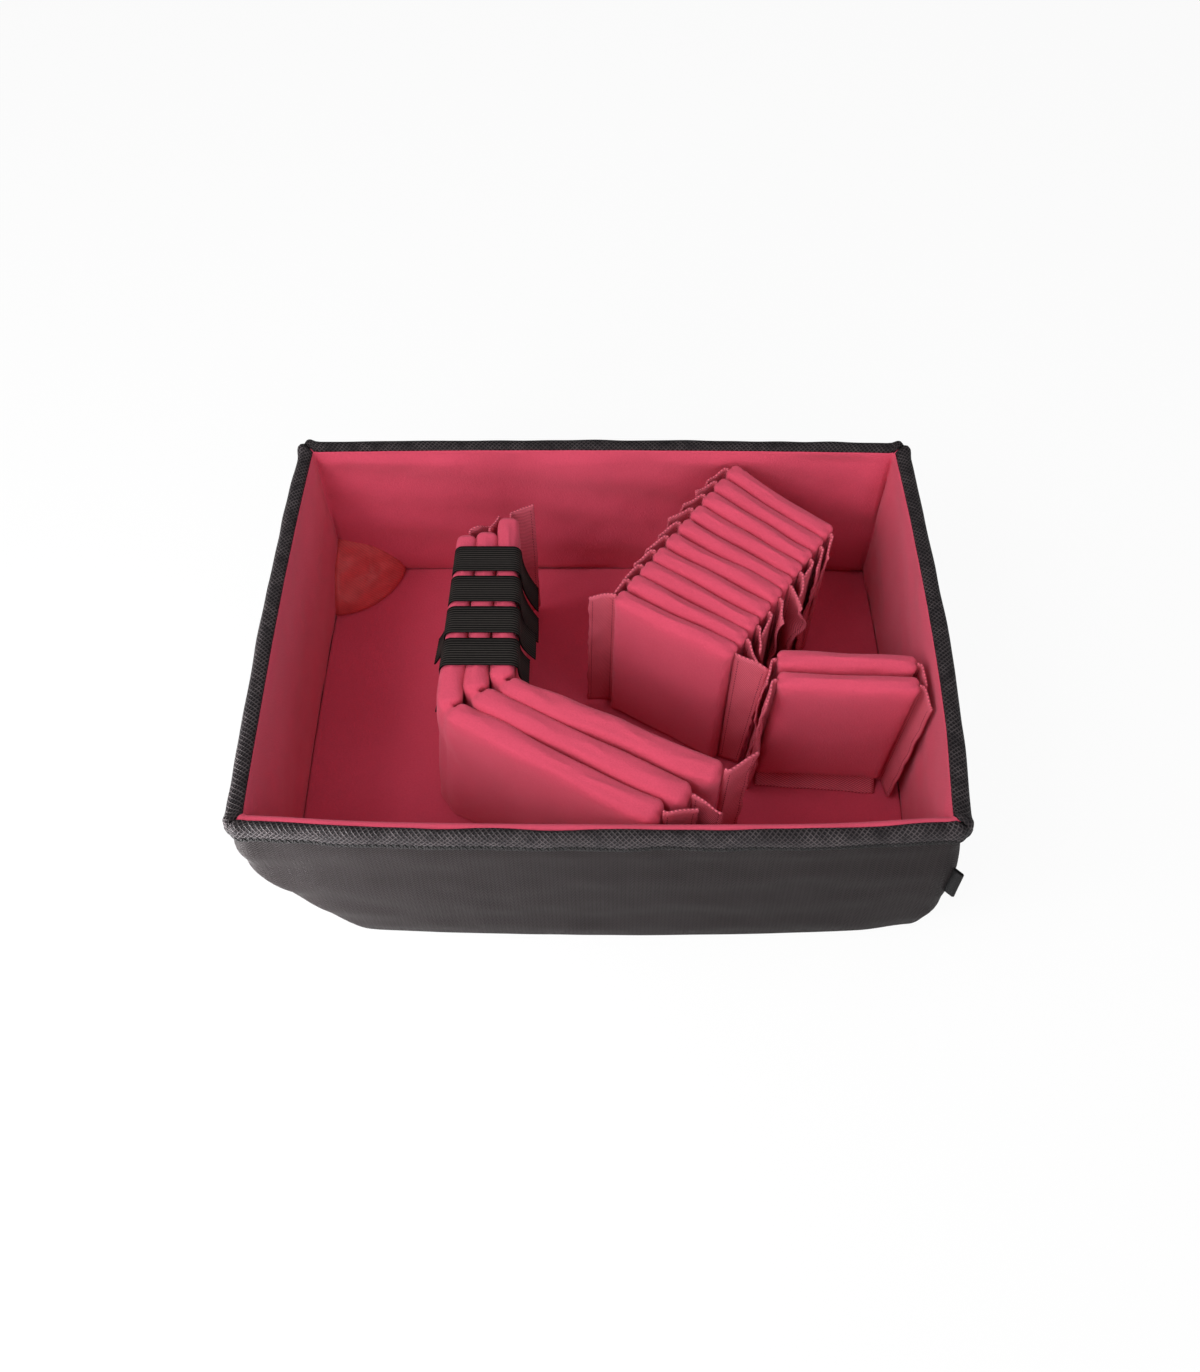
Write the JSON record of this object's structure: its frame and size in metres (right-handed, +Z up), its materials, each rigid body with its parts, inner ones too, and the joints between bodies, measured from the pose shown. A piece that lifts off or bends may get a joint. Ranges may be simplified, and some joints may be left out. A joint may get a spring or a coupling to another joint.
{
  "type": "padded case divider",
  "caption": "Open padded tub insert for a wheeled hard case, holding upright divider pads with hook tabs and a strapped nest of folding dividers.",
  "frame": {"origin": "on the underside, below the middle of the tub's inner plan", "axes": "+X along the length, with the wheel corners at the -X end; -Y is the long front side; +Z up"},
  "size_m": [0.5359, 0.3942, 0.17],
  "materials": {
    "nylon": "woven, matt",
    "binding": "coarse diagonal weave, slight sheen",
    "loop_lining": "brushed loop",
    "patch_nylon": "smooth woven",
    "hook_tab": "woven tape with hook face",
    "elastic": "ribbed, matt",
    "foam": "closed-cell foam"
  },
  "bodies": {
    "tub": {"cover_sides": "nylon", "cover_base": "nylon", "cover_corner_rear_left": "nylon", "cover_corner_front_left": "nylon", "corner_patch_rear_left": "patch_nylon", "corner_patch_front_left": "patch_nylon", "foam_base": "foam", "foam_front": "foam", "foam_right": "foam", "foam_rear": "foam", "foam_left": "foam", "rim_front": "binding", "rim_right": "binding", "rim_rear": "binding", "rim_left": "binding", "lining_floor": "loop_lining", "lining_walls": "loop_lining", "label_tag": "elastic"},
    "row_divider_01": {"row_pad_01": "loop_lining", "row_flange_01": "hook_tab"},
    "row_divider_02": {"row_pad_02": "loop_lining", "row_flange_02": "hook_tab"},
    "row_divider_03": {"row_pad_03": "loop_lining", "row_flange_03": "hook_tab"},
    "row_divider_04": {"row_pad_04": "loop_lining", "row_flange_04": "hook_tab"},
    "row_divider_05": {"row_pad_05": "loop_lining", "row_flange_05": "hook_tab"},
    "row_divider_06": {"row_pad_06": "loop_lining", "row_flange_06": "hook_tab"},
    "row_divider_07": {"row_pad_07": "loop_lining", "row_flange_07": "hook_tab"},
    "row_divider_08": {"row_pad_08": "loop_lining", "row_flange_08": "hook_tab"},
    "row_divider_09": {"row_pad_09": "loop_lining", "row_flange_09": "hook_tab"},
    "row_divider_10": {"row_pad_10": "loop_lining", "row_flange_10": "hook_tab"},
    "pair_divider_01": {"pair_pad_01": "loop_lining", "pair_flange_01": "hook_tab"},
    "pair_divider_02": {"pair_pad_02": "loop_lining", "pair_flange_02": "hook_tab"},
    "nest": {"long_back_pad_1": "loop_lining", "long_back_pad_2": "loop_lining", "long_back_pad_3": "loop_lining", "long_rear_tab_1": "hook_tab", "long_rear_tab_2": "hook_tab", "long_rear_tab_3": "hook_tab"},
    "nest_leg_1": {"long_front_pad_1": "loop_lining", "long_front_tab_1": "hook_tab"},
    "nest_leg_2": {"long_front_pad_2": "loop_lining", "long_front_tab_2": "hook_tab"},
    "nest_leg_3": {"long_front_pad_3": "loop_lining", "long_front_tab_3": "hook_tab"},
    "strap_1": {"strap_1": "elastic"},
    "strap_2": {"strap_2": "elastic"},
    "strap_3": {"strap_3": "elastic"},
    "strap_4": {"strap_4": "elastic"}
  },
  "joints": [
    {"name": "row_lift_01", "type": "slide", "parent": "tub", "child": "row_divider_01", "axis": [0, 0, 1], "range_m": [0, 0.17]},
    {"name": "row_lift_02", "type": "slide", "parent": "tub", "child": "row_divider_02", "axis": [0, 0, 1], "range_m": [0, 0.17]},
    {"name": "row_lift_03", "type": "slide", "parent": "tub", "child": "row_divider_03", "axis": [0, 0, 1], "range_m": [0, 0.17]},
    {"name": "row_lift_04", "type": "slide", "parent": "tub", "child": "row_divider_04", "axis": [0, 0, 1], "range_m": [0, 0.17]},
    {"name": "row_lift_05", "type": "slide", "parent": "tub", "child": "row_divider_05", "axis": [0, 0, 1], "range_m": [0, 0.17]},
    {"name": "row_lift_06", "type": "slide", "parent": "tub", "child": "row_divider_06", "axis": [0, 0, 1], "range_m": [0, 0.17]},
    {"name": "row_lift_07", "type": "slide", "parent": "tub", "child": "row_divider_07", "axis": [0, 0, 1], "range_m": [0, 0.17]},
    {"name": "row_lift_08", "type": "slide", "parent": "tub", "child": "row_divider_08", "axis": [0, 0, 1], "range_m": [0, 0.17]},
    {"name": "row_lift_09", "type": "slide", "parent": "tub", "child": "row_divider_09", "axis": [0, 0, 1], "range_m": [0, 0.17]},
    {"name": "row_lift_10", "type": "slide", "parent": "tub", "child": "row_divider_10", "axis": [0, 0, 1], "range_m": [0, 0.17]},
    {"name": "pair_lift_01", "type": "slide", "parent": "tub", "child": "pair_divider_01", "axis": [0, 0, 1], "range_m": [0, 0.17]},
    {"name": "pair_lift_02", "type": "slide", "parent": "tub", "child": "pair_divider_02", "axis": [0, 0, 1], "range_m": [0, 0.17]},
    {"name": "nest_lift", "type": "slide", "parent": "tub", "child": "nest", "axis": [0, 0, 1], "range_m": [0, 0.17]},
    {"name": "nest_fold_1", "type": "hinge", "parent": "nest", "child": "nest_leg_1", "pos_m": [-0.1135, -0.071, 0.0858], "axis": [0, 0, 1], "range_deg": [-5, 12]},
    {"name": "nest_fold_2", "type": "hinge", "parent": "nest", "child": "nest_leg_2", "pos_m": [-0.0935, -0.059, 0.0858], "axis": [0, 0, 1], "range_deg": [-5, 12]},
    {"name": "nest_fold_3", "type": "hinge", "parent": "nest", "child": "nest_leg_3", "pos_m": [-0.0735, -0.047, 0.0858], "axis": [0, 0, 1], "range_deg": [-5, 12]},
    {"name": "strap_lift_1", "type": "slide", "parent": "nest", "child": "strap_1", "axis": [0, 0, 1], "range_m": [0, 0.09]},
    {"name": "strap_lift_2", "type": "slide", "parent": "nest", "child": "strap_2", "axis": [0, 0, 1], "range_m": [0, 0.09]},
    {"name": "strap_lift_3", "type": "slide", "parent": "nest", "child": "strap_3", "axis": [0, 0, 1], "range_m": [0, 0.09]},
    {"name": "strap_lift_4", "type": "slide", "parent": "nest", "child": "strap_4", "axis": [0, 0, 1], "range_m": [0, 0.09]}
  ],
  "couplings": [
    {"joint": "nest_fold_2", "follows": "nest_fold_1", "ratio": 1},
    {"joint": "nest_fold_3", "follows": "nest_fold_1", "ratio": 1}
  ]
}
